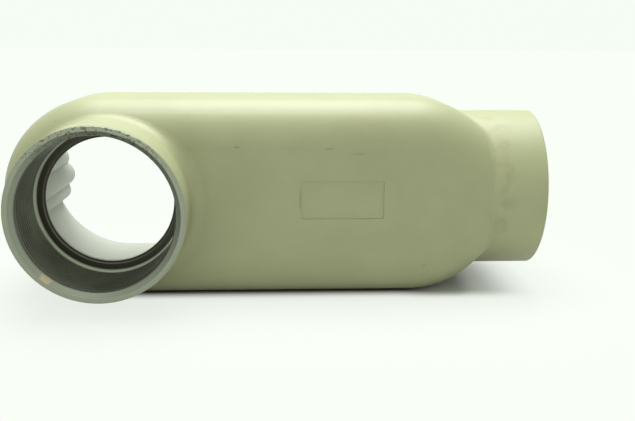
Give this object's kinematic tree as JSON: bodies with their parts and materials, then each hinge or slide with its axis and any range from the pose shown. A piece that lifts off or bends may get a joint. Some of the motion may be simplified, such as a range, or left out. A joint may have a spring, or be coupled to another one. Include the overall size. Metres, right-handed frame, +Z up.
{
  "type": "conduit body",
  "caption": "Hollow cast right-angle conduit body with a round hub out of the back, a hub on one end and an open front that takes a cover.",
  "frame": {"origin": "on the flat side that it rests on, straight under the crossing of the two hub axes", "axes": "+X along the body towards the end hub, +Y from the back hub to the open front, +Z up with the body lying on its long side"},
  "size_m": [0.33, 0.1394, 0.121],
  "materials": {
    "cast_coating": "satin warm greenish grey coating on a smooth sand-cast skin, with the mouths and the cover seat machined bare"
  },
  "bodies": {
    "root": {"conduit_body": "cast_coating"}
  },
  "joints": []
}
